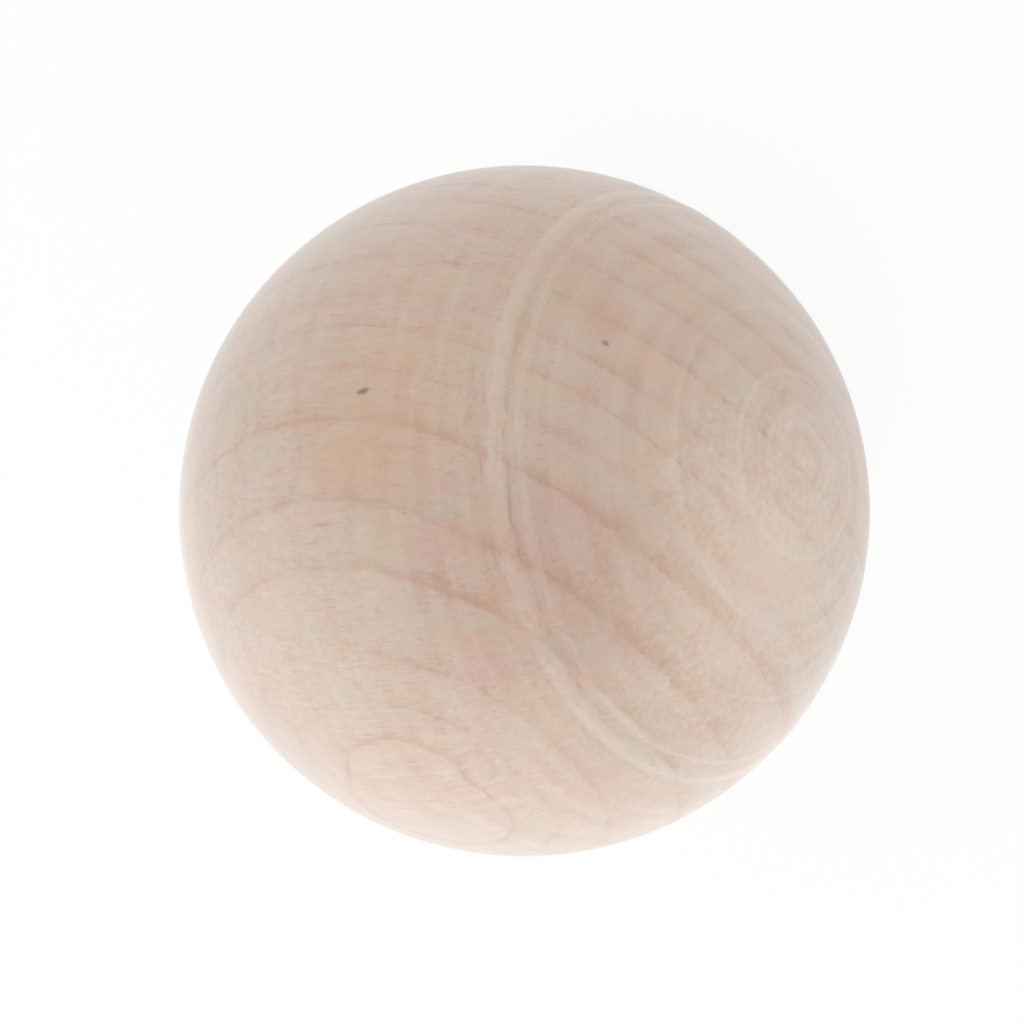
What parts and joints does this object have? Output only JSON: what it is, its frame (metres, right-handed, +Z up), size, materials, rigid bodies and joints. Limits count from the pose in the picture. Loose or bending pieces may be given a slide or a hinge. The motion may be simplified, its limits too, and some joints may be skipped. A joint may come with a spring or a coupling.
{
  "type": "wooden ball",
  "caption": "Solid turned ball of pale bare wood with a faint raised turning ridge; used loose as a craft, knob, spacer or demonstration ball.",
  "frame": {"origin": "centre of the ball", "axes": "+X along the lathe axis and the grain, out of the end with the turned ridge; +Z up, as the ball lies with that axis level"},
  "size_m": [0.04, 0.04, 0.04],
  "materials": {
    "bare_wood": "matte"
  },
  "bodies": {
    "root": {"ball": "bare_wood"}
  },
  "joints": []
}
